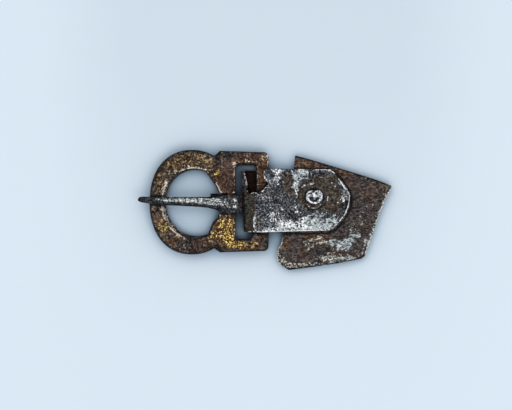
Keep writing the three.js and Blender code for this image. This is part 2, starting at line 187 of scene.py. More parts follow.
class Skin:
    """A fine mesh of a CAD node, in millimetres, whose points can be eased and pushed in"""

    def __init__(self, node):
        voxel, rounds = MESHING[node]
        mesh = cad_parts[node].data.copy()
        self.piece = add_object(node + "_worn", mesh)
        mesh.materials.clear()
        self._write(mesh, self._read(mesh) / MM)
        weld = self.piece.modifiers.new("weld", "WELD")
        weld.merge_threshold = WELD_MM
        remesh = self.piece.modifiers.new("remesh", "REMESH")
        remesh.mode = "VOXEL"
        remesh.voxel_size = voxel
        fine = bpy.data.meshes.new_from_object(
            self.piece.evaluated_get(bpy.context.evaluated_depsgraph_get())
        )
        self.piece.modifiers.clear()
        self.piece.data = self.mesh = fine
        self.edges = np.empty(len(fine.edges) * 2, dtype=np.int32)
        fine.edges.foreach_get("vertices", self.edges)
        self.edges = self.edges.reshape(-1, 2)
        self.points = self._eased(self._read(fine), rounds)

    @staticmethod
    def _read(mesh):
        values = np.empty(len(mesh.vertices) * 3, dtype=np.float32)
        mesh.vertices.foreach_get("co", values)
        return values.reshape(-1, 3).astype(float)

    @staticmethod
    def _write(mesh, points):
        mesh.vertices.foreach_set("co", points.astype(np.float32).ravel())
        mesh.update()

    def _eased(self, values, rounds):
        ends = self.edges
        count = len(values)
        neighbours = np.bincount(ends.ravel(), minlength=count)[:, None]
        for _ in range(rounds):
            total = np.stack([
                np.bincount(ends[:, 0], values[ends[:, 1], axis], count)
                + np.bincount(ends[:, 1], values[ends[:, 0], axis], count)
                for axis in range(values.shape[1])
            ], axis=1)
            values = values + EASING * (total / neighbours - values)
        return values

    def normals(self):
        """Which way the skin faces at each point"""
        self._write(self.mesh, self.points)
        values = np.empty(len(self.points) * 3, dtype=np.float32)
        self.mesh.vertex_normals.foreach_get("vector", values)
        return values.reshape(-1, 3).astype(float)

    def look(self):
        """The points, which way they face, and how far they look up"""
        normals = self.normals()
        return self.points, normals, np.clip(normals[:, 2], 0, 1)

    def edge_height(self, rounds):
        """How far each point stands out from its eased surroundings, in millimetres"""
        gap = self.points - self._eased(self.points, rounds)
        return np.sum(gap * self.normals(), axis=1)

    def push_in(self, depth):
        self.points = self.points - self.normals() * depth[:, None]

    def draw_aside(self, x, y, move_x, move_y, reach):
        """Moves the points round a place in plan, by less and less away from it, in millimetres"""
        away = np.hypot(self.points[:, 0] - x, self.points[:, 1] - y) / reach
        share = np.exp(-away * away)[:, None]
        self.points = self.points + share * (move_x, move_y, 0)

    def mark(self, name, values):
        """Keeps a number from 0 to 1 at each point, for the materials"""
        attribute = self.mesh.attributes.new(name, "FLOAT", "POINT")
        values = np.broadcast_to(np.clip(values, 0, 1), len(self.points))
        attribute.data.foreach_set("value", values.astype(np.float32))

    def finish(self, node, body, slot, material):
        for name in MARKS:
            if name not in self.mesh.attributes:
                self.mark(name, 0)
        self._write(self.mesh, self.points * MM)
        self.mesh.shade_smooth()
        self.mesh.materials.append(material)
        self.mesh.update()
        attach(self.piece, body)
        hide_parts(node)


PIT_LEVELS = (0.16, 0.75)
SIDE_FACING = (0.75, 0.3)
BITE_LEVELS = (-0.35, 0.7)
SHEET_GRAIN = (1, 1, 0.2)


def pitting(points, size, amount, seed):
    """Scattered corrosion pits, as a depth in millimetres"""
    return amount * step(*PIT_LEVELS, grain(points, size, 3, seed))


def raggedness(points, normals, places, size, amount, seed):
    """Bites out of the sheet's torn edges, as a depth in millimetres"""
    side = step(*SIDE_FACING, np.abs(normals[:, 2]))
    bites = step(*BITE_LEVELS, grain(points * SHEET_GRAIN, size, 2, seed))
    return amount * side * places * bites


def undulation(points, size, amount, seed):
    """Slow hammered unevenness, as a depth that is never negative"""
    return amount * (0.5 + 0.5 * np.clip(grain(points, size, 2, seed), -1, 1))


# Materials

RAMP_STOPS = (0.372, 0.446, 0.5, 0.554, 0.628)
TWO_STOPS = (0.4, 0.6)
INSIDE_STOPS = (0.42, 0.6)
SPECULAR_LEVEL = 0.08
SHIFT_SHARES = (1, 0.7, 0.3)
# The noise level that a speck has to pass where its mark is 0, and what a full mark takes off it
SPECK_LEVEL = 0.78
SPECK_EASING = 0.36
SPECK_ROUGHNESS = 0.62
# Where a colour mix takes its share and its two colours
MIX_SOCKETS = (0, 6, 7)


class Paint:
    """The nodes of one material; sizes are in millimetres"""

    def __init__(self, name):
        self.material = bpy.data.materials.new(name)
        self.material.use_nodes = True
        self.nodes = self.material.node_tree.nodes
        self.links = self.material.node_tree.links
        self.nodes.clear()
        coordinates = self.nodes.new("ShaderNodeTexCoord")
        self.place = self._vector("SCALE", coordinates.outputs["Object"], scale=1 / MM)

    def _put(self, socket, value):
        if isinstance(value, bpy.types.NodeSocket):
            self.links.new(value, socket)
        else:
            socket.default_value = value

    def _fill(self, node, names, values):
        for name, value in zip(names, values):
            self._put(node.inputs[name], value)

    def _vector(self, operation, first, second=None, scale=None):
        node = self.nodes.new("ShaderNodeVectorMath")
        node.operation = operation
        self._put(node.inputs[0], first)
        if second is not None:
            self._put(node.inputs[1], second)
        if scale is not None:
            node.inputs["Scale"].default_value = scale
        return node.outputs["Vector"]

    def noise(self, size, detail, roughness, shift, stretch=(1, 1, 1), distortion=0.0):
        place = self._vector("ADD", self.place, [shift * share for share in SHIFT_SHARES])
        place = self._vector("MULTIPLY", place, stretch)
        node = self.nodes.new("ShaderNodeTexNoise")
        names = ("Vector", "Scale", "Detail", "Roughness", "Distortion")
        self._fill(node, names, (place, 1 / size, detail, roughness, distortion))
        return node.outputs[0]

    def cells(self, size, shift):
        node = self.nodes.new("ShaderNodeTexVoronoi")
        self._put(node.inputs["Vector"], self._vector("ADD", self.place, (shift, shift, shift)))
        node.inputs["Scale"].default_value = 1 / size
        return node.outputs["Distance"]

    def mark(self, name):
        node = self.nodes.new("ShaderNodeAttribute")
        node.attribute_name = name
        return node.outputs["Fac"]

    def sum(self, operation, first, second=0.0, third=0.0):
        node = self.nodes.new("ShaderNodeMath")
        node.operation = operation
        self._fill(node, range(3), (first, second, third))
        return node.outputs[0]

    def between(self, value, low, high, to_low=0.0, to_high=1.0):
        node = self.nodes.new("ShaderNodeMapRange")
        node.interpolation_type = "SMOOTHSTEP"
        names = ("Value", "From Min", "From Max", "To Min", "To Max")
        self._fill(node, names, (value, low, high, to_low, to_high))
        return node.outputs["Result"]

    def ramp(self, value, tones, stops=RAMP_STOPS):
        """The tones, as 0 to 255 values, in order as the value rises through the stops"""
        node = self.nodes.new("ShaderNodeValToRGB")
        elements = node.color_ramp.elements
        while len(elements) < len(tones):
            elements.new(1)
        for element, stop, tone in zip(elements, stops, tones):
            element.position = stop
            element.color = srgb(*tone)
        self._put(node.inputs["Fac"], value)
        return node.outputs["Color"]

    def blend(self, share, first, second):
        node = self.nodes.new("ShaderNodeMix")
        node.data_type = "RGBA"
        self._fill(node, MIX_SOCKETS, (share, first, second))
        return node.outputs[2]

    def ragged(self, name, noise, spread):
        """The mark of that name, its edges broken up by the noise"""
        return self.sum("MULTIPLY_ADD", self.sum("SUBTRACT", noise, 0.5), spread, self.mark(name))

    def over(self, density, size, shift, stretch=(1, 1, 1), detail=2):
        """Above 0 in scattered specks: nowhere where density is 0, almost everywhere where 1"""
        limit = self.sum("MULTIPLY_ADD", density, -SPECK_EASING, SPECK_LEVEL)
        specks = self.noise(size, detail, SPECK_ROUGHNESS, shift, stretch)
        return self.sum("SUBTRACT", specks, limit)

    def bump(self, height, distance_mm):
        node = self.nodes.new("ShaderNodeBump")
        node.inputs["Strength"].default_value = 1
        node.inputs["Distance"].default_value = distance_mm * MM
        self._put(node.inputs["Height"], height)
        return node.outputs["Normal"]

    def part(self, axis):
        node = self.nodes.new("ShaderNodeSeparateXYZ")
        self._put(node.inputs[0], self.place)
        return node.outputs[axis]

    def openness(self, reach_mm):
        """1 in the open, less where pieces stand within reach"""
        node = self.nodes.new("ShaderNodeAmbientOcclusion")
        node.inputs["Distance"].default_value = reach_mm * MM
        return node.outputs["AO"]

    def finish(self, colour, roughness, metal, normal=None):
        shader = self.nodes.new("ShaderNodeBsdfPrincipled")
        self._fill(shader, ("Base Color", "Roughness", "Metallic"), (colour, roughness, metal))
        if normal is not None:
            self._put(shader.inputs["Normal"], normal)
        shader.inputs["Specular IOR Level"].default_value = SPECULAR_LEVEL
        output = self.nodes.new("ShaderNodeOutputMaterial")
        self.links.new(shader.outputs[0], output.inputs[0])
        return self.material


# The patina's patterns: their sizes in millimetres, how far each noise is moved from the first, the
# levels between which each pattern sets in, its strength, and its height in the bump
SIZES_MM = dict(broad=4.5, mottle=1.6, fine=0.52, pits=1.2, gold=0.46, leaf=0.9, crust=1.3)
SHIFTS = dict(broad=0, mottle=3, fine=7, leaf=13, gold=19, crust=23, specks=29)
LEVELS = dict(
    rust=(0.15, 0.75), dirt_and_shade=(0.2, 0.7), warm=(0.2, 0.7), rich=(0.68, 0.8),
    leaf=(-0.1, 0.04), crust=(-0.02, 0.08), specks=(0, 0.05), moat=(-0.12, -0.03),
    worn=(0.35, 0.8), worn_mark=(0, 0.3), pits=(0.04, 0.26), shine=(0.4, 1.4),
)
SPREADS = dict(rust=1.5, dirt_and_shade=1.0, warm=1.2, worn=2.4)
STRENGTHS = dict(dirt_and_shade=0.95, moat=0.55, pits=0.75, shadow_line=0.9)
HEIGHTS = dict(mottle=0.9, fine=0.35, pits=0.25, specks=0.12)
CRUST_STRETCH = (0.75, 1.3, 1)
MOTTLE_SHARE = 0.3
DISTORTION = 0.7
PIT_RIM = 0.8
BUMP_MM = 0.2
POLISH = 0.2
BARE_METAL = 0.3


def corroded_iron(
    name, tones, shift, speck=0.5, gilded=False, hidden=False, rough=0.55, lay=(1, 1, 1)
):
    """Dark patinated iron: grainy, pitted, with rust, grey metal, pale crust, bright worn edges,
    painted shade, shadow lines and highlights

    shift moves the patterns, speck is the pale specks' size in millimetres, hidden adds painted
    shade, deep red-brown, on a fold's inner side, and lay squeezes the finest grain.
    """
    paint = Paint(name)

    def noise(key, detail=1, roughness=0.5, **more):
        return paint.noise(SIZES_MM[key], detail, roughness, shift + SHIFTS[key], **more)

    broad = noise("broad", detail=2)
    mottle = noise("mottle", detail=2, roughness=0.55)
    fine = noise("fine", stretch=lay, distortion=DISTORTION)
    grit = paint.sum("MULTIPLY", fine, 1 - MOTTLE_SHARE)
    grit = paint.sum("MULTIPLY_ADD", mottle, MOTTLE_SHARE, grit)

    def tone(key):
        return srgb(*tones[key])

    def ramp(key):
        return paint.ramp(grit, tones[key])

    def patches(key, pattern):
        return paint.between(paint.ragged(key, pattern, SPREADS[key]), *LEVELS[key])

    colour = paint.blend(patches("rust", broad), ramp("iron"), ramp("rust"))
    colour = paint.blend(patches("warm", mottle), colour, ramp("warm"))

    if gilded:
        gilt = paint.mark("gilt")
        bright = noise("gold", distortion=DISTORTION)
        rich = paint.between(gilt, *LEVELS["rich"])
        gold = paint.blend(rich, ramp("gold_dull"), paint.ramp(bright, tones["gold"]))
        leaf = paint.over(gilt, SIZES_MM["leaf"], shift + SHIFTS["leaf"])
        colour = paint.blend(paint.between(leaf, *LEVELS["leaf"]), colour, gold)

    # Dirt patches and painted shade, both in the darkest tones
    dirt_and_shade_share = paint.sum("MULTIPLY", patches("dirt_and_shade", mottle), STRENGTHS["dirt_and_shade"])
    colour = paint.blend(dirt_and_shade_share, colour, ramp("dirt_and_shade"))

    # Pale crust, which on the tongue's ridge paints a highlight
    crusty = paint.mark("crust")
    crust = paint.over(crusty, SIZES_MM["crust"], shift + SHIFTS["crust"], CRUST_STRETCH, detail=3)
    colour = paint.blend(paint.between(crust, *LEVELS["crust"]), colour, ramp("crust"))

    # Along some rims the pale specks paint a highlight
    # Pale specks, each with a dark moat
    pale = paint.mark("pale")
    specks_over = paint.over(pale, speck, shift + SHIFTS["specks"])
    specks = paint.between(specks_over, *LEVELS["specks"])
    moat = paint.between(specks_over, *LEVELS["moat"], 0, STRENGTHS["moat"])
    colour = paint.blend(paint.sum("MULTIPLY", moat, pale), colour, tone("deep"))
    colour = paint.blend(specks, colour, paint.ramp(mottle, tones["pale"], TWO_STOPS))

    # Bright worn edges, which on some lit rims are a painted highlight
    worn = paint.between(paint.mark("worn"), *LEVELS["worn_mark"])
    worn = paint.sum("MULTIPLY", patches("worn", fine), worn)
    colour = paint.blend(worn, colour, tone("worn"))

    pits = paint.between(paint.cells(SIZES_MM["pits"], shift), *LEVELS["pits"])
    pit_shade = paint.between(pits, 0, PIT_RIM, STRENGTHS["pits"], 0)
    colour = paint.blend(pit_shade, colour, tone("deep"))
    # Painted shadow lines: contact shadows and shaded edges, in a near-black tone
    shadow_line = paint.sum("MULTIPLY", paint.mark("shadow_line"), STRENGTHS["shadow_line"])
    colour = paint.blend(shadow_line, colour, tone("shadow_line"))
    # Painted shade, near-black red-brown, on a fold's inner side
    if hidden:
        inner = paint.ramp(mottle, tones["inside"], INSIDE_STOPS)
        colour = paint.blend(paint.mark("inside"), colour, inner)

    relief = paint.sum("MULTIPLY", fine, HEIGHTS["fine"])
    for height, key in ((mottle, "mottle"), (pits, "pits"), (specks, "specks")):
        relief = paint.sum("MULTIPLY_ADD", height, HEIGHTS[key], relief)
    shine = paint.sum("ADD", worn, fine)
    roughness = paint.between(shine, *LEVELS["shine"], rough, rough - POLISH)
    metal = paint.sum("MULTIPLY", paint.sum("MAXIMUM", worn, specks), BARE_METAL)
    return paint.finish(colour, roughness, metal, paint.bump(relief, BUMP_MM))


# Colours read from the photograph, as 0 to 255 values, from dark to light
# Among these, the ramps of the darkest tones serve dirt and painted shade, the near-black tone
# after the warm ramp paints shadow lines, and the near-black red-browns of the pitted sheet paint
# shade within the fold
GILDED_IRON = dict(
    deep=(12, 8, 6),
    iron=[(20, 14, 10), (44, 34, 28), (62, 50, 42), (82, 69, 59), (116, 102, 89)],
    rust=[(30, 18, 14), (54, 39, 33), (71, 53, 47), (87, 68, 61), (112, 92, 82)],
    dirt_and_shade=[(10, 9, 9), (26, 24, 25), (40, 38, 39), (56, 54, 55), (84, 81, 80)],
    gold_dull=[(18, 10, 4), (58, 42, 24), (92, 74, 46), (130, 109, 74), (196, 172, 128)],
    gold=[(18, 6, 0), (56, 32, 8), (114, 79, 27), (198, 154, 68), (254, 232, 152)],
    crust=[(60, 58, 52), (96, 94, 88), (130, 130, 124), (164, 166, 160), (210, 212, 206)],
    pale=[(140, 124, 108), (232, 218, 200)],
    worn=(206, 192, 176),
    warm=[(26, 14, 8), (52, 34, 22), (71, 48, 33), (90, 66, 48), (118, 94, 74)],
    shadow_line=(9, 6, 6),
)
WORN_IRON = dict(
    GILDED_IRON,
    deep=(8, 9, 11),
    iron=[(14, 14, 16), (38, 38, 41), (58, 59, 62), (82, 84, 87), (130, 134, 136)],
    rust=[(14, 5, 4), (34, 17, 14), (50, 30, 26), (68, 46, 41), (98, 78, 73)],
    dirt_and_shade=[(5, 7, 10), (17, 20, 25), (30, 34, 39), (46, 50, 55), (78, 82, 86)],
    crust=[(38, 40, 40), (86, 90, 88), (134, 139, 138), (180, 186, 186), (234, 240, 241)],
    pale=[(160, 164, 164), (240, 246, 244)],
    worn=(186, 192, 192),
)
PITTED_SHEET = dict(
    GILDED_IRON,
    deep=(10, 10, 14),
    iron=[(14, 14, 18), (40, 41, 47), (60, 62, 69), (84, 87, 94), (142, 148, 154)],
    rust=[(26, 19, 16), (48, 40, 35), (62, 54, 48), (77, 69, 62), (104, 96, 88)],
    dirt_and_shade=[(8, 8, 10), (22, 22, 26), (38, 38, 42), (56, 56, 60), (92, 94, 96)],
    crust=[(96, 105, 104), (134, 143, 143), (166, 176, 177), (192, 202, 204), (226, 234, 236)],
    pale=[(166, 174, 180), (250, 252, 253)],
    worn=(226, 230, 232),
    warm=[(30, 25, 19), (42, 36, 29), (51, 45, 37), (60, 54, 45), (78, 72, 63)],
    inside=[(4, 0, 0), (34, 11, 4)],
)
BROWN_SHEET = dict(
    GILDED_IRON,
    deep=(16, 12, 11),
    iron=[(28, 24, 24), (48, 42, 42), (60, 53, 52), (72, 66, 65), (99, 93, 91)],
    rust=[(31, 21, 18), (53, 41, 37), (67, 54, 48), (82, 68, 61), (110, 96, 86)],
    dirt_and_shade=[(14, 12, 13), (30, 28, 29), (42, 40, 41), (56, 54, 54), (80, 78, 76)],
    crust=[(64, 68, 68), (108, 114, 116), (146, 155, 158), (172, 183, 187), (208, 216, 218)],
    pale=[(138, 134, 120), (216, 214, 200)],
    worn=(216, 216, 206),
    warm=[(33, 21, 14), (55, 41, 31), (72, 54, 42), (90, 70, 55), (122, 102, 85)],
)
BRIGHT_RIVET = dict(
    GILDED_IRON,
    deep=(40, 41, 44),
    iron=[(70, 72, 80), (114, 117, 128), (146, 150, 162), (176, 180, 190), (214, 217, 224)],
    dirt_and_shade=[(2, 2, 3), (10, 10, 12), (20, 20, 23), (36, 36, 40), (70, 70, 74)],
    pale=[(236, 240, 244), (255, 255, 255)],
    worn=(252, 253, 254),
)

# Outlines in photo pixels
PLATE_END = [
    (325, 169.3), (333, 171.5), (338, 176), (343.5, 183), (349, 191), (350.8, 197), (350, 206),
    (347, 214), (342, 221.5), (336, 228.5), (329, 232),
]
RING_MIDDLE = (192.0, 202.2)
RING_HALF = (42.3, 52.3)
RING_OVAL_POWER = 2.2
RING_END_X = (223, 218)

# How much a face looks up where a mark ends and where it is full
UPWARD = (0.2, 0.6)
NOT_DOWN = (0.1, 0.5)
SLOPED = (0.05, 0.4)
GILT_FACING = (0.3, 0.8)
LEVEL_FACING = (0.7, 0.9)
SHADED_SLOPE = (0.96, 0.6)
UPRIGHT = (0.45, 0.1)
UPRIGHT_EASING = 0.6
# How far a worn edge stands out, in millimetres, where the wear starts and where it is full
FRAME_EDGE_MM = (0.015, 0.06)
SHEET_EDGE_MM = (0.02, 0.07)
WASHER_EDGE_MM = (0.002, 0.014)


def shaded_sides(up):
    """1 on the slopes below the top, where shade is painted, and less on upright and lower faces"""
    return step(*SHADED_SLOPE, up) * (1 - UPRIGHT_EASING * step(*UPRIGHT, up))


def ring_rim(points, start, end):
    """1 along the ring's outer edge, from 0 at one share of its size to 1 at the other"""
    across, down = in_photo(points)
    reach = (
        np.abs((across - RING_MIDDLE[0]) / RING_HALF[0]) ** RING_OVAL_POWER
        + np.abs((down - RING_MIDDLE[1]) / RING_HALF[1]) ** RING_OVAL_POWER
    ) ** (1 / RING_OVAL_POWER)
    return step(start, end, reach) * step(*RING_END_X, across)


# Frame
SLOT_LEAN_MM = 0.35
SLOT_MIDDLE_X = 246.5
SLOT_HALF_X = (11.5, 9)
SLOT_WALL_Y = 164
SLOT_WALL_REACH = 4
SLOT_WALL_FACING = (-0.3, -0.8)
LOOP_PLATE_MM = (1.5, 4.2)
LEAN_START_MM = 0.4
SLOT_CORNERS_MM = ((-8.93, 13.7, 1), (-2.42, 13.7, -1))
CORNER_FILL_MM = 0.3
CORNER_REACH_MM = 0.75
SIDE_WEAR = 0.25


def slot_lean(points, normals):
    """How far the slot's far wall stands out towards its foot, in millimetres"""
    across, down = in_photo(points)
    wall = step(*SLOT_HALF_X, np.abs(across - SLOT_MIDDLE_X))
    wall = wall * (np.abs(down - SLOT_WALL_Y) < SLOT_WALL_REACH)
    wall = wall * step(*SLOT_WALL_FACING, normals[:, 1])
    foot, top = LOOP_PLATE_MM
    return SLOT_LEAN_MM * wall * step(top, foot + LEAN_START_MM, points[:, 2])


def wear_frame():
    skin = Skin("frame")
    for x, y, turn in SLOT_CORNERS_MM:
        skin.draw_aside(x, y, turn * CORNER_FILL_MM, -CORNER_FILL_MM, CORNER_REACH_MM)
    edge = skin.edge_height(EDGE_ROUNDS)
    points, normals, up = skin.look()
    wear = undulation(points, size=4.2, amount=0.16, seed=3)
    wear += pitting(points, size=1.1, amount=0.16, seed=7)
    wear *= SIDE_WEAR + (1 - SIDE_WEAR) * np.abs(normals[:, 2])
    skin.push_in(wear - slot_lean(points, normals))
    points = skin.points
    sloped = step(*SLOPED, up)

    skin.mark("gilt", step(*GILT_FACING, up) * blots(points, [
        (194, 158, 28, 9, 0.68), (174, 167, 12, 9, 0.65), (161, 181, 6, 14, 0.55),
        (163, 227, 8, 12, 0.74), (170, 239, 9, 6, 0.4), (186, 240, 9, 4, 0.4),
        (205, 246, 14, 6, 0.45), (226, 230, 12, 17, 0.84), (210, 235, 13, 5.5, 0.84),
        (222, 243.5, 6, 5, 0.76), (235, 243, 12, 8, 0.86), (248, 245.2, 12, 4.2, 0.72),
        (255, 243, 7, 5, 0.66), (262, 178, 5, 18, 0.25), (217.6, 173.6, 2.8, 3.2, 0.92),
        (157, 205, 6, 14, 0.45), (209, 162, 10, 9, 0.58), (230, 238, 7, 10, 0.9),
        (184, 243, 3, 7, 0.9), (179, 236, 6, 3, 0.7), (219, 218, 4, 6, 0.8),
    ]))
    skin.mark("warm", strongest(blots(points, [
        (262.5, 180, 7, 28, 1), (264, 160, 7, 7, 0.6), (246, 162, 14, 3, 0.55),
        (217, 176, 5, 8, 0.6), (213, 242, 10, 6, 0.5), (204, 249, 16, 4, 0.5),
        (264, 246, 6, 5, 0.5), (176, 160, 12, 7, 0.45), (226, 214, 10, 5, 0.7),
        (158, 222, 5, 14, 0.4), (226, 230, 15, 18, 0.9), (246, 246, 18, 5, 0.8),
        (196, 247, 22, 5, 0.6), (176, 243, 10, 5, 0.5), (226, 216, 6, 5, 0.9),
    ], seed=26), streaks(points, [(1.4, 0.95, (234.3, 166), (234.2, 180), (234.6, 196))], seed=27)))
    skin.mark("rust", blots(points, [
        (246, 158, 24, 10, 0.6), (226, 184, 9, 24, 0.7), (213, 242, 14, 7, 0.55),
        (262, 245, 10, 6, 0.6), (232, 212, 6, 6, 0.6), (215, 165, 8, 10, 0.4),
        (190, 250, 20, 5, 0.4),
    ], seed=21))
    # Dirt patches, with painted shade on the ring's rounded outer rim and the sloping sides, and
    # painted shadows beside the tongue, along the loop plate's top edge and under the tongue's head
    skin.mark("dirt_and_shade", strongest(
        blots(points, [
            (229, 155, 9, 5, 0.8), (169, 188, 5, 7, 0.6), (163, 208, 7, 8, 0.55),
            (186, 243, 10, 6, 0.75), (200, 247, 8, 5, 0.5), (236, 250, 3, 2, 0.6),
            (184, 173, 8, 3, 0.5), (222, 249, 4, 3, 0.6), (262, 206, 6, 10, 0.5),
            (264, 243, 5, 6, 0.55), (166, 235, 6, 5, 0.4), (196, 249, 24, 6, 0.5),
        ], seed=31),
        0.7 * ring_rim(points, 0.9, 0.97) * sloped,
        0.95 * shaded_sides(up),
        streaks(points, [
            (1.6, 0.9, (140, 196), (166, 194.8)), (1.8, 0.9, (146, 204), (166, 206.5)),
            (1.4, 0.7, (222, 150.8), (262, 152)), (1.6, 0.9, (219, 210), (233, 214), (242, 212)),
        ], seed=36),
    ))
    # Painted shadow lines: at the ring's outer rim, the slot's far wall, beside the tongue, under
    # the leaf, round the loop plate's end and in the V notch
    skin.mark("shadow_line", sloped * strongest(
        0.75 * ring_rim(points, 0.965, 0.99),
        streaks(points, [
            (1.2, 1, (236.5, 165), (238.5, 164.3), (254.5, 164.3), (257, 165.8)),
            (0.9, 0.95, (220, 151.6), (224, 150.8), (245, 150.8), (262, 151.8), (267, 153.6)),
            (0.9, 0.95, (150, 196.4), (166, 195.8)),
            (1.1, 0.95, (150, 204), (160, 205.2), (166, 206.4)),
            (1, 1, (257.5, 234.4), (268.5, 234.2)),
            (0.9, 0.9, (268.3, 235), (268.2, 246), (265.8, 249.4)),
            (0.9, 0.7, (265.8, 249.4), (245, 251), (221, 251.8), (217, 249)),
            (1, 0.8, (217, 213.2), (212, 226), (206, 233)),
            (0.8, 0.8, (234.8, 238.6), (251, 238.4)),
            (1.4, 0.95, (257.5, 191.5), (261, 189.5), (267, 183.8)),
        ], ragged=0.3, seed=37),
    ))
    # Pale specks and patches of crust, and pale streaks along the ring's inner edges and the slot's
    # rims that are partly wear and partly painted highlight
    skin.mark("pale", step(*NOT_DOWN, up) * strongest(blots(points, [
        (165, 190, 4, 12, 0.8), (164.5, 211, 4, 8, 0.8), (169, 226, 5, 7, 0.6),
        (172, 172, 7, 4, 0.6), (190, 167, 12, 2.5, 0.62), (207, 171, 6, 3, 0.7),
        (234, 163, 2.2, 1.8, 1), (246, 155, 8, 2, 0.66), (247, 161, 9, 2, 0.6),
        (198, 157, 22, 7, 0.4), (263, 158, 4, 4, 0.6), (163, 180, 5, 10, 0.5),
        (155, 215, 4, 16, 0.45), (176, 234, 9, 5, 0.55), (226, 216, 3, 4, 0.6),
        (186, 246, 16, 4, 0.4), (240, 200, 60, 60, 0.22),
    ], ragged=1.2, seed=41), streaks(points, [
        (1.6, 0.95, (167, 180), (164.5, 190), (163.8, 196)),
        (1.6, 0.95, (163.2, 206), (165, 214), (168, 221)),
        (1.3, 0.85, (168, 221), (173, 228), (180, 235), (186, 239)),
        (1.1, 0.8, (164, 217), (170, 228), (178, 237)),
        (1.2, 0.75, (173, 174), (180, 169), (188, 167), (199, 167), (206, 170), (212, 175)),
        (1.2, 0.8, (217, 182), (219, 188), (221, 193)), (1, 0.55, (222, 157), (222, 172)),
        (0.9, 0.5, (234, 166), (234.5, 192)),
        (0.9, 0.8, (233, 162.8), (246, 161.6), (256.5, 161.6)),
        (0.8, 0.55, (257.8, 167), (258.2, 190)), (1, 0.6, (265, 153.5), (267, 160), (266, 168)),
    ], ragged=0.4, seed=46)))
    # Bright worn edges, which along the ring's inner rim are partly painted highlight
    wear_and_highlight_places = blots(points, [
        (165, 190, 6, 12, 1), (165, 211, 6, 9, 1), (175, 231, 9, 9, 1), (190, 169, 20, 5, 0.9),
        (219, 187, 4, 9, 1), (234, 180, 3, 20, 0.4), (257, 178, 3, 18, 0.3), (246, 162, 14, 2, 0.6),
        (234, 232, 3, 14, 0.5), (219, 212, 4, 5, 0.9), (268, 160, 3, 8, 0.7),
    ], seed=51)
    skin.mark("worn", wear_and_highlight_places * step(*FRAME_EDGE_MM, edge) * step(*UPWARD, up))
    material = corroded_iron("gilded iron", GILDED_IRON, shift=1.0, gilded=True)
    skin.finish("frame", "frame", "gilded_iron", material)


# Tongue
TONGUE_HEEL_MM = 0.45
TONGUE_HEEL_X = (236, 239)
HEEL_FACING = (0.2, 0.9)
TONGUE_TAIL_MM = 0.32
TAIL_FACING = (0.3, 0.8)
# Its outlines, then the strength of the painted highlight along the ridge, as pale specks and as
# crust, at pixels along it
TONGUE_TOP_Y = ([140, 165, 200, 225, 246], [196, 196, 196.8, 197.5, 196])
TONGUE_LOW_Y = ([140, 165, 200, 225, 246], [200, 202.5, 204.5, 208, 211])
RIDGE_HIGHLIGHT_PALE = (
    [140, 150, 162, 168, 200, 218, 224, 232, 238, 246],
    [0, 0.1, 0.6, 0.76, 0.74, 0.7, 0.35, 0.4, 0.05, 0],
)
RIDGE_HIGHLIGHT_CRUST = ([142, 152, 164, 200, 219, 226, 236, 238.5], [0, 0.45, 0.95, 1.0, 0.8, 0.4, 0.5, 0])
RIDGE_FADES = (1.5, 1.8)
RIDGE_FACING = (0.3, 0.7)
FACET_FACING = (0.95, 0.7)
TONGUE_TIP_X = (160, 150)


def wear_tongue():
    skin = Skin("tongue")
    points, normals, up = skin.look()
    along, down = in_photo(points)
    heel = TONGUE_HEEL_MM * step(*TONGUE_HEEL_X, along) * step(*HEEL_FACING, normals[:, 0])
    curl = TONGUE_TAIL_MM * step(*TAIL_FACING, normals[:, 1])
    curl = curl * blots(points, [(214.3, 195.5, 5, 3, 1)], ragged=0.1)
    wear = undulation(points, size=2.4, amount=0.08, seed=13)
    wear += pitting(points, size=0.8, amount=0.12, seed=17)
    skin.push_in(wear - heel - curl)
    points = skin.points
    top_y = np.interp(along, *TONGUE_TOP_Y)
    low_y = np.interp(along, *TONGUE_LOW_Y)
    lit_ridge = step(top_y, top_y + RIDGE_FADES[0], down) * step(low_y, low_y - RIDGE_FADES[1], down)
    lit_ridge = lit_ridge * step(*RIDGE_FACING, up)
    tail = blots(points, [(215, 194.9, 7.5, 2.2, 1)], ragged=0.3)
    rusty_heel = blots(points, [(242, 203, 4, 9, 1)], ragged=1, seed=63)
    # Crust and pale specks along the ridge, and pale spots on the head, paint a highlight
    skin.mark("crust", lit_ridge * (1 - tail) * np.interp(along, *RIDGE_HIGHLIGHT_CRUST))
    strength = np.interp(along, *RIDGE_HIGHLIGHT_PALE)
    skin.mark("pale", lit_ridge * (1 - tail) * strongest(strength, blots(points, [
        (234.5, 201, 2.6, 3, 0.9), (229.5, 207, 4, 2.4, 0.7), (235, 206.5, 2, 3.4, 0.9),
        (222, 203, 6, 4, 0.6),
    ], ragged=1, seed=61)))
    # Painted shadow lines along the tongue's sides, and painted shade on the curled tail
    skin.mark("shadow_line", strongest(
        1.3 * tail,
        streaks(points, [
            (0.9, 0.8, (150, 196.8), (166, 196.3), (212, 197)),
            (0.9, 0.7, (160, 204.6), (180, 205.2), (205, 206.6), (222, 210)),
        ], ragged=0.3, seed=66),
    ))
    skin.mark("rust", strongest(
        1.3 * rusty_heel,
        blots(points, [(230, 211, 9, 3, 0.5), (232, 199, 6, 4, 0.4)], seed=71),
    ))
    # Painted shade on the facets that look less up, off the ridge and on the tail; the tip is
    # darker too
    shaded_facet = step(*FACET_FACING, up)
    dirt_and_shade = strongest(0.6 * (1 - lit_ridge), shaded_facet, tail, 0.7 * step(*TONGUE_TIP_X, along))
    skin.mark("dirt_and_shade", dirt_and_shade * (1 - 0.55 * rusty_heel))
    material = corroded_iron("worn iron", WORN_IRON, shift=5.0, speck=0.4, rough=0.5)
    skin.finish("tongue", "tongue", "worn_iron", material)


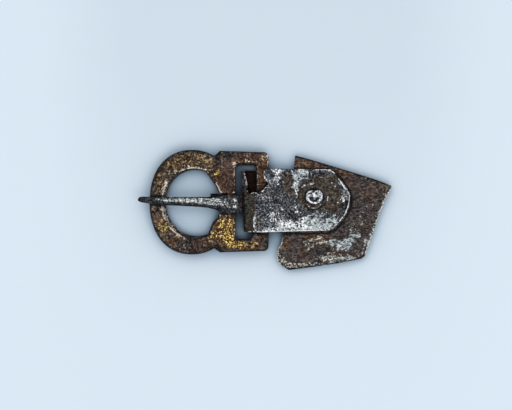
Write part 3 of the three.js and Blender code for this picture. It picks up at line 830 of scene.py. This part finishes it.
# Folded buckle plate
FOLD_AXIS_MM = (-3.95, 2.85)
FOLD_INSIDE_MM = 2.4
LEAF_FACING = 0.3
FOLD_BROWN_X = (256, 253)
FOLD_BROWN_Y = (184, 190)
SHEET_SIDE = (0.6, 0.1)
# Rounds at the rivet, both painting shade round its head: middle, radii where they end and where
# they are full, and squash, in pixels
RIVET_PAINTED_SHADE = ((314.2, 197.6), (11.5, 9.4), 1.12)
RIVET_SHADOW = ((314.0, 196.2), (10.2, 9.4), 1.15)


def inside_fold(points, normals):
    """1 on the sheet's inner side, within the fold and between the leaves"""
    across = points[:, 0] - FOLD_AXIS_MM[0]
    height = points[:, 2] - FOLD_AXIS_MM[1]
    in_bend = (across < 0) & (np.hypot(across, height) < FOLD_INSIDE_MM)
    facing = np.sign(-height) * normals[:, 2] > LEAF_FACING
    between = (across >= 0) & facing
    return (in_bend | between).astype(float)


def rivet_round(points, middle, radii, squash):
    """1 close to the rivet's head, 0 away from it"""
    across, down = in_photo(points)
    return step(*radii, np.hypot(across - middle[0], (down - middle[1]) * squash))


def wear_plate():
    skin = Skin("buckle_plate")
    edge = skin.edge_height(EDGE_ROUNDS)
    points, normals, up = skin.look()
    inner = inside_fold(points, normals)
    across, down = in_photo(points)
    torn = blots(points, [
        (256, 182, 18, 20, 1), (300, 232, 60, 5, 0.3), (352, 200, 12, 30, 0.45),
    ], seed=115)
    wear = undulation(points, size=3.5, amount=0.07, seed=23)
    wear += pitting(points, size=0.9, amount=0.12, seed=27)
    bites = raggedness(points, normals, torn, size=0.9, amount=0.42, seed=29)
    skin.push_in(np.abs(normals[:, 2]) * wear + bites)
    outer = 1 - inner
    # Pale specks and patches of crust, and pale streaks along the crease, the torn rim and the
    # leaf's edges that are partly painted highlight
    skin.mark("pale", outer * strongest(blots(points, [
        (286, 226, 14, 7.5, 1.1), (297, 229, 42, 4.5, 1), (276, 217, 10, 7, 0.75),
        (264, 213, 12, 16, 0.4), (284, 212, 14, 8, 0.4), (254.5, 222, 1.6, 10, 0.9),
        (290, 231.5, 48, 1.6, 1), (277, 172, 5, 4.5, 0.9), (282, 170.5, 5, 2, 0.9),
        (276, 179, 5, 4, 0.9), (271, 183, 4, 3, 0.8), (278, 184.5, 2, 1.5, 1),
        (266, 198, 10, 4, 0.62), (276, 208, 9, 5, 0.55), (295, 203, 2, 8, 0.6),
        (343, 198, 3, 7, 0.85), (341, 183, 3, 4, 0.7), (337, 202.6, 1.3, 1.3, 1),
        (297, 212, 5, 3, 0.7), (290, 198, 50, 30, 0.2), (318, 215, 10, 4, 0.5),
        (302, 222, 7, 7, 0.85), (333, 182.5, 2.5, 2.5, 0.6), (335, 187, 2, 2, 0.5),
    ], ragged=1.4, seed=81), streaks(points, [
        (1.2, 0.95, (291.5, 170), (294.5, 178), (294.6, 187), (297.5, 198)),
        (0.8, 1, (327.4, 196.5), (327.4, 200.5)),
        (1.3, 0.8, (243.6, 170), (245, 176), (245.8, 182), (247.4, 188)),
        (0.9, 0.5, (251, 192), (256, 193), (258, 190.5), (262, 187), (266, 182)),
        (1, 0.8, (264, 169), (263.2, 175), (266, 179), (270, 181)),
        (1, 0.6, (272, 169.8), (290, 170.3), (305, 170.3), (322, 170.6)),
        (0.8, 0.8, (313, 170.6), (322, 169.8), (330, 170.6), (333, 172.4)),
        (0.7, 0.7, (313, 176), (319, 176.6), (325, 178.6)),
        (0.7, 0.6, (308, 182), (314, 180.8), (321, 181.8)), (0.7, 0.5, (304, 186.6), (310, 184.6)),
    ], ragged=0.5, seed=86)))
    skin.mark("crust", outer * strongest(blots(points, [
        (300, 175, 10, 7, 1.3), (296, 184, 4.5, 7, 1.1), (318, 225, 18, 7.5, 1.1),
        (331, 223, 8, 6, 1.05), (312, 218, 7, 5, 1.1), (312, 229, 26, 3.5, 1),
    ], seed=91), streaks(points, [
        (1.2, 0.85, (296, 192), (300, 187.5), (306, 184.5), (313, 183.5)),
        (1, 0.7, (302, 182), (310, 179.5), (318, 180)),
        (1.3, 0.9, (304, 218), (312, 215), (318, 211)),
        (1.2, 0.85, (314, 220), (322, 216), (326, 212)),
        (1.2, 0.85, (322, 222), (330, 217), (335, 215)),
        (1.2, 0.8, (300, 226), (306, 220), (312, 219)),
    ], ragged=0.7, seed=96)))
    # Painted shade on the sheet's inner side, within the fold and between the leaves
    skin.mark("inside", inner)
    skin.mark("rust", blots(points, [
        (316, 196, 24, 17, 1), (334, 200, 10, 16, 0.9), (326, 180, 16, 8, 0.9),
        (290, 185, 8, 14, 0.6), (276, 190, 10, 8, 0.45), (259, 224, 4, 7, 0.6),
        (298, 206, 8, 6, 0.6),
    ], seed=101))
    skin.mark("warm", strongest(
        1.2 * step(*FOLD_BROWN_X, across) * step(*FOLD_BROWN_Y, down),
        blots(points, [(300, 168.6, 34, 1.2, 0.6), (312, 206, 6, 3, 0.5)], seed=106),
    ))
    # Darker patches, with painted shade in the torn hole, beside the fold, in the crease, round the
    # rivet and on the sloping sides
    skin.mark("dirt_and_shade", strongest(
        blots(points, [
            (340, 186.5, 4, 3, 1), (344.5, 210, 7, 9, 1.3), (286, 203, 12, 8, 0.35),
            (260, 206, 10, 12, 0.35), (320, 174, 9, 3, 0.9), (244.5, 215, 2.4, 22, 0.8),
            (241.6, 180, 3.4, 13, 1.3), (275, 191, 12, 6, 0.3), (305, 213, 8, 4, 0.4),
            (293, 216, 4, 7, 0.7),
        ], seed=111),
        0.9 * step(*SHEET_SIDE, up),
        rivet_round(points, *RIVET_PAINTED_SHADE),
        streaks(points, [
            (1, 0.7, (289.5, 171), (292, 180), (292.5, 190)),
        ], ragged=0.5, seed=116),
    ))
    # Painted shadow lines round the rivet, under the washer, along the fold's edge and within the
    # plate's rounded end
    skin.mark("shadow_line", outer * step(*NOT_DOWN, up) * strongest(
        rivet_round(points, *RIVET_SHADOW),
        streaks(points, [
            (0.9, 0.9, (305.4, 205.6), (308.6, 209), (312.5, 210.2), (317, 209.6), (320.6, 207)),
            (0.9, 0.8, (243.6, 192), (243.8, 212), (244, 231)),
            (0.9, 0.6, (342.5, 182.6), (347.6, 190.6), (348.4, 197), (347.4, 204)),
        ], ragged=0.3, seed=118),
    ))
    # Bright worn edges, and a painted highlight along the rim of the plate's rounded end
    wear_and_highlight_places = strongest(
        blots(points, [
            (348, 183, 8, 12, 0.6), (354, 200, 6, 14, 0.7), (345, 222, 12, 10, 0.5),
            (300, 232, 60, 4, 0.9), (248, 178, 4, 12, 0.6), (266, 180, 8, 10, 0.8),
            (256, 192, 12, 5, 0.5), (330, 171, 20, 4, 0.8),
        ], seed=121) * step(*SHEET_EDGE_MM, edge) * step(*UPWARD, up),
        0.85 * step(*LEVEL_FACING, up) * streaks(points, [(
            0.8, 1, (338, 178), (343, 185), (348, 192), (349.3, 198), (348.6, 205), (345.5, 213),
            (340, 221),
        )], ragged=0.5, seed=126),
    )
    skin.mark("worn", wear_and_highlight_places * outer)
    material = corroded_iron("pitted sheet", PITTED_SHEET, shift=9.0, hidden=True)
    skin.finish("buckle_plate", "plate", "pitted_sheet", material)


# Backing plate
BACKING_SIDE = (0.7, 0.2)
BACKING_LAY = (0.66, 1.15, 1)


def wear_backing():
    skin = Skin("backing_plate")
    edge = skin.edge_height(EDGE_ROUNDS)
    points, normals, up = skin.look()
    torn = blots(points, [(280, 252, 12, 24, 1), (378, 222, 18, 40, 0.25)], seed=155)
    wear = undulation(points, size=3.2, amount=0.06, seed=33)
    wear += pitting(points, size=0.9, amount=0.1, seed=37)
    bites = raggedness(points, normals, torn, size=1.0, amount=0.4, seed=39)
    skin.push_in(np.abs(normals[:, 2]) * wear + bites)
    # Pale specks and cream streaks, and a pale streak along the right edge that is partly painted
    # highlight
    skin.mark("pale", strongest(blots(points, [
        (284, 262, 8, 6, 0.7), (280, 251, 3, 10, 0.6), (318, 241, 16, 5, 0.5),
        (334, 257, 32, 4, 0.62), (300, 265, 16, 3, 0.8), (384, 200, 4, 12, 0.55),
        (376, 224, 4, 12, 0.6), (370, 246, 4, 8, 0.7), (356, 214, 12, 10, 0.35),
        (372, 180, 12, 5, 0.45), (345, 205, 50, 50, 0.14), (352, 228, 8, 5, 0.55),
        (314, 244, 12, 6, 0.6), (327, 258, 14, 4, 0.75), (342, 256, 12, 4, 0.75),
        (384, 190, 8, 5, 0.5), (363, 224, 8, 6, 0.42),
    ], ragged=1.4, seed=131), streaks(points, [
        (1.2, 0.85, (391, 188), (385, 200), (379, 214), (373, 232), (367, 249)),
        (0.8, 0.6, (356, 222), (362, 214), (368, 205)),
        (0.8, 0.6, (365, 222), (371, 210), (374, 203)), (0.8, 0.5, (352, 204), (360, 196)),
        (1, 0.95, (303, 242), (309, 240), (320, 238.6)),
        (1, 0.9, (307, 250), (313, 246), (320, 242), (327, 241)),
        (1, 0.9, (310, 245), (318, 243.4), (328, 242)),
        (0.9, 0.8, (312, 239), (318, 236), (323, 238)),
        (0.8, 0.8, (326, 252), (332, 253), (336, 252)),
    ], ragged=0.6, seed=136)))
    skin.mark("crust", strongest(blots(points, [
        (286, 262, 8, 6, 0.75), (343, 245, 10, 7, 1.3), (351, 239, 8, 5.5, 1.3),
        (334, 242, 7, 4.5, 1.1), (338, 257, 20, 4, 0.8), (302, 266, 16, 2, 0.8),
        (366, 241, 4, 3, 0.8), (357, 235, 6, 3, 1), (324, 264, 20, 1.5, 0.9),
        (349, 232.5, 3, 4, 0.8),
    ], seed=141), streaks(points, [
        (1.6, 0.9, (333, 250), (342, 243), (352, 236.5), (361, 235)),
        (1.2, 0.75, (326, 243), (334, 246), (340, 249)),
        (1.2, 0.7, (361, 235), (365, 240), (368, 243)),
        (1, 0.6, (310, 248), (318, 242), (327, 238)),
        (1.2, 0.75, (318, 259), (330, 256), (338, 255)),
        (1.5, 0.8, (314, 264.6), (340, 260.6), (358, 257)),
        (1.6, 1, (364.6, 246), (362.8, 251), (360.4, 256)),
        (1.3, 0.8, (385, 198), (379, 212), (373.5, 226), (368, 241)),
    ], ragged=0.8, seed=146)))
    skin.mark("warm", blots(points, [
        (312, 163, 24, 6.5, 0.9), (340, 174, 12, 6, 0.8), (285, 243, 6, 10, 0.55),
        (316, 237, 18, 4, 0.95), (352, 184, 5, 8, 0.5), (364, 250, 7, 6, 0.4),
    ], seed=151))
    skin.mark("rust", blots(points, [
        (372, 190, 18, 16, 0.5), (325, 250, 16, 7, 0.5), (300, 256, 14, 7, 0.6),
        (360, 226, 12, 10, 0.5), (296, 246, 14, 8, 0.45),
    ], seed=152))
    # Darker patches, with painted shade on the sloping sides and painted shadows along the plate's
    # end, under the leaf's edge and along the right edge
    skin.mark("dirt_and_shade", strongest(
        blots(points, [
            (360, 186, 12, 8, 0.4), (323, 251, 11, 4.5, 0.7), (356, 202, 8, 18, 0.4),
            (300, 158, 3, 2, 0.8), (352, 246, 5, 3, 0.5), (346, 226, 10, 5, 0.4),
            (352, 258, 12, 1.5, 0.5),
        ], seed=161),
        0.95 * step(*BACKING_SIDE, up),
        streaks(points, [
            (1.8, 0.8, *[(x + 1.4, y + 0.6) for x, y in PLATE_END]),
            (1.5, 0.7, (328, 233.2), (280, 234)), (1.4, 0.8, (378, 213), (372, 232), (366, 249)),
        ], ragged=0.5, seed=166),
    ))
    # Painted shadow lines along the plate's end and the leaf's edge, and shaded edges round the
    # outline
    skin.mark("shadow_line", step(*NOT_DOWN, up) * streaks(points, [
        (1.1, 1, *[(x + 0.9, y + 0.5) for x, y in PLATE_END]), (1.1, 1, (328, 233.3), (280, 233.9)),
        (0.9, 0.9, (294, 167.9), (330, 168.4)),
        (0.9, 0.9, (289.5, 269.2), (313, 266.2), (342, 262.2), (362, 257.9)),
        (0.9, 0.85, (295, 156.4), (309, 159.6), (343, 169.8), (374, 179.6), (391, 186.2)),
        (0.9, 0.9, (279.6, 234), (280.6, 243), (277.2, 249)), (0.9, 0.9, (282, 266), (290, 269.4)),
        (0.9, 0.8, (345, 261.8), (360, 258.8)), (1.2, 0.9, (363.4, 256.4), (364.6, 254)),
        (0.9, 0.85, (387.4, 200), (380.4, 216), (374.4, 232)),
    ], ragged=0.4, seed=167))
    # Bright worn edges, which along the right edge are partly painted highlight
    wear_and_highlight_places = blots(points, [
        (388, 190, 6, 12, 0.6), (380, 215, 8, 22, 0.7), (368, 246, 9, 14, 1),
        (330, 262, 50, 6, 0.6), (280, 250, 5, 16, 0.9),
    ], seed=171)
    skin.mark("worn", wear_and_highlight_places * step(*SHEET_EDGE_MM, edge) * step(*UPWARD, up))
    material = corroded_iron("brown sheet", BROWN_SHEET, shift=15.0, lay=BACKING_LAY)
    skin.finish("backing_plate", "backing", "brown_sheet", material)


# Washer and rivet
WASHER_PALE = 0.25
WASHER_RUST = 0.6
WASHER_RIM_HIGHLIGHT = 0.65
WASHER_LOW_Y = (201.5, 204.5)
WASHER_SIDE = (0.8, 0.1)
RIVET_HEAD_FOOT_MM = 4.3
RIVET_HOLLOW_MM = 0.3
RIVET_TAPER_MM = 0.38
RIVET_SIDE = (0.8, 0.3)
RIVET_DARK = (0.55, 0.1)


def wear_washer():
    skin = Skin("rivet_washer")
    edge = skin.edge_height(WASHER_EDGE_ROUNDS)
    points, _, up = skin.look()
    skin.push_in(pitting(points, size=0.7, amount=0.05, seed=47))
    skin.mark("pale", WASHER_PALE)
    skin.mark("rust", WASHER_RUST)
    # Painted shade on the washer's sides
    skin.mark("dirt_and_shade", 0.9 * step(*WASHER_SIDE, up))
    # The lower rim's bright edge is a painted highlight, and the round under the rivet's head a
    # painted shadow
    lower = step(*WASHER_LOW_Y, in_photo(points)[1])
    upward = step(*UPWARD, up)
    skin.mark("worn", WASHER_RIM_HIGHLIGHT * lower * step(*WASHER_EDGE_MM, edge) * upward)
    skin.mark("shadow_line", rivet_round(points, *RIVET_SHADOW) * upward)
    material = corroded_iron("washer sheet", PITTED_SHEET, shift=21.0, speck=0.4)
    skin.finish("rivet_washer", "plate", "pitted_sheet", material)


def wear_rivet():
    skin = Skin("rivet")
    points, normals, up = skin.look()
    side = step(*RIVET_SIDE, np.abs(normals[:, 2])) * (points[:, 2] > RIVET_HEAD_FOOT_MM)
    taper = side * blots(points, [(307.5, 201.5, 4, 3, 1), (321, 201.5, 4, 3, 1)], ragged=0.2)
    hollows = blots(points, [
        (310.2, 193.4, 2.6, 1.1, 1), (315.9, 193.2, 1.4, 1.3, 1), (310.8, 198.4, 3, 2, 1),
        (317.4, 198.9, 2.6, 2.1, 1), (314, 200.6, 4, 1.3, 1), (318.4, 190.9, 0.9, 0.8, 0.9),
        (313.6, 191.4, 1.5, 1.3, 1),
    ], ragged=0.35, seed=181)
    pits = pitting(points, size=0.5, amount=0.04, seed=57)
    skin.push_in(RIVET_HOLLOW_MM * hollows * up + RIVET_TAPER_MM * taper + pits)
    # The hollows are darker, and the head's sides that look less up get painted shade
    skin.mark("dirt_and_shade", strongest(hollows, 0.95 * step(*RIVET_DARK, up)))
    # Pale spots on the head, and pale streaks along its rim that are a painted highlight
    skin.mark("pale", strongest(blots(points, [
        (309, 195.7, 3.2, 1, 1), (313.8, 195.4, 1.6, 2.2, 1),
    ], ragged=0.3, seed=191), streaks(points, [
        (
            1.1, 1.0, (306.8, 193), (306.9, 197), (308.6, 200.5), (311.4, 202.8), (315, 203.3),
            (318.4, 201.8),
        ),
        (1.1, 1, (318.4, 201.8), (321, 198.6), (321.9, 195), (321.2, 192), (319.6, 191.2)),
        (0.8, 0.9, (308, 192), (311, 191.6), (313, 194), (315.5, 191.8)),
    ], ragged=0.25, seed=196)))
    material = corroded_iron("bright rivet", BRIGHT_RIVET, shift=27.0, speck=0.6, rough=0.42)
    skin.finish("rivet", "plate", "bright_rivet", material)


wear_frame()
wear_tongue()
wear_plate()
wear_backing()
wear_washer()
wear_rivet()


# Floor and light
FLOOR_HALF_M = 3.0
FLOOR_TOP_MM = -0.02
FLOOR_UNDERSIDE_MM = -1.02
FLOOR_ROUGHNESS = 0.9
FLOOR_TONE = (0.665, 0.765, 0.865, 1)
# Painted light falloff: the floor is painted darker towards the far side and a little lighter
# towards both sides
FAR_FLOOR_SHADED_TONE = (0.605, 0.70, 0.795, 1)
FAR_FLOOR_MM = (-60, 60)
SIDE_FLOOR_LIT_TONE = (0.675, 0.776, 0.876, 1)
SIDE_FLOOR_MM = (35, 75)
SKY_TONE = srgb(214, 228, 241)
# The floor is darker where pieces stand close round it, at every pose: how far away they count, and
# for each step how open the floor is where it is darkest and where the step ends, and its tone
SHADE_REACH_MM = 14
SHADES = ((0.35, 0.97, (0.345, 0.48, 0.615, 1)), (0.14, 0.5, (0.04, 0.052, 0.066, 1)))
LAMP_SIZE_M = (0.6, 0.35)
LAMPS = (("near_softbox", (0.1, -0.26, 0.58), 1.35), ("far_softbox", (-0.12, 0.24, 0.58), 1))
# How high a direction points where the world's light starts to weaken and where it is weakest, and
# its strengths there
SKY_HEIGHTS = (0.5, 0.95)
SKY_STRENGTHS = (0.78, 0.42)


def make_floor():
    half = FLOOR_HALF_M
    corners = [(-half, -half), (half, -half), (half, half), (-half, half)]
    heights = (FLOOR_TOP_MM * MM, FLOOR_UNDERSIDE_MM * MM)
    points = [(x, y, z) for z in heights for x, y in corners]
    mesh = bpy.data.meshes.new("floor")
    mesh.from_pydata(points, [], [(0, 1, 2, 3), (7, 6, 5, 4)])
    floor = add_object("floor", mesh)
    paint = Paint("floor")
    colour = paint.blend(paint.between(paint.part("Y"), *FAR_FLOOR_MM), FLOOR_TONE, FAR_FLOOR_SHADED_TONE)
    from_middle = paint.sum("ABSOLUTE", paint.part("X"))
    colour = paint.blend(paint.between(from_middle, *SIDE_FLOOR_MM), colour, SIDE_FLOOR_LIT_TONE)
    openness = paint.openness(SHADE_REACH_MM)
    for darkest, end, tone in SHADES:
        colour = paint.blend(paint.between(openness, darkest, end), tone, colour)
    mesh.materials.append(paint.finish(colour, FLOOR_ROUGHNESS, 0.0))
    underside = Paint("floor underside")
    mesh.materials.append(underside.finish(FLOOR_TONE, FLOOR_ROUGHNESS, 0.0))
    mesh.polygons[1].material_index = 1


def make_lamp(name, place, power):
    data = bpy.data.lights.new(name, "AREA")
    data.shape = "RECTANGLE"
    data.size, data.size_y = LAMP_SIZE_M
    data.energy = power
    lamp = add_object(name, data)
    lamp.location = place
    lamp.rotation_mode = "QUATERNION"
    lamp.rotation_quaternion = (-lamp.location).to_track_quat("-Z", "Y")


def make_world():
    """Soft light from all round, weaker from straight above, and a pale sky for the camera"""
    world = bpy.data.worlds.new("studio")
    bpy.context.scene.world = world
    world.use_nodes = True
    nodes = world.node_tree.nodes
    links = world.node_tree.links
    nodes.clear()
    seen = nodes.new("ShaderNodeLightPath")
    direction = nodes.new("ShaderNodeTexCoord")
    parts = nodes.new("ShaderNodeSeparateXYZ")
    links.new(direction.outputs["Generated"], parts.inputs[0])
    level = nodes.new("ShaderNodeMapRange")
    links.new(parts.outputs["Z"], level.inputs["Value"])
    names = ("From Min", "From Max", "To Min", "To Max")
    for name, value in zip(names, SKY_HEIGHTS + SKY_STRENGTHS):
        level.inputs[name].default_value = value
    light = nodes.new("ShaderNodeBackground")
    light.inputs["Color"].default_value = (1, 1, 1, 1)
    links.new(level.outputs["Result"], light.inputs["Strength"])
    backdrop = nodes.new("ShaderNodeBackground")
    backdrop.inputs["Color"].default_value = SKY_TONE
    backdrop.inputs["Strength"].default_value = 1
    mixed = nodes.new("ShaderNodeMixShader")
    output = nodes.new("ShaderNodeOutputWorld")
    links.new(seen.outputs["Is Camera Ray"], mixed.inputs[0])
    links.new(light.outputs[0], mixed.inputs[1])
    links.new(backdrop.outputs[0], mixed.inputs[2])
    links.new(mixed.outputs[0], output.inputs[0])


make_floor()
make_world()
for lamp in LAMPS:
    make_lamp(*lamp)
bpy.context.scene.view_settings.view_transform = "Standard"
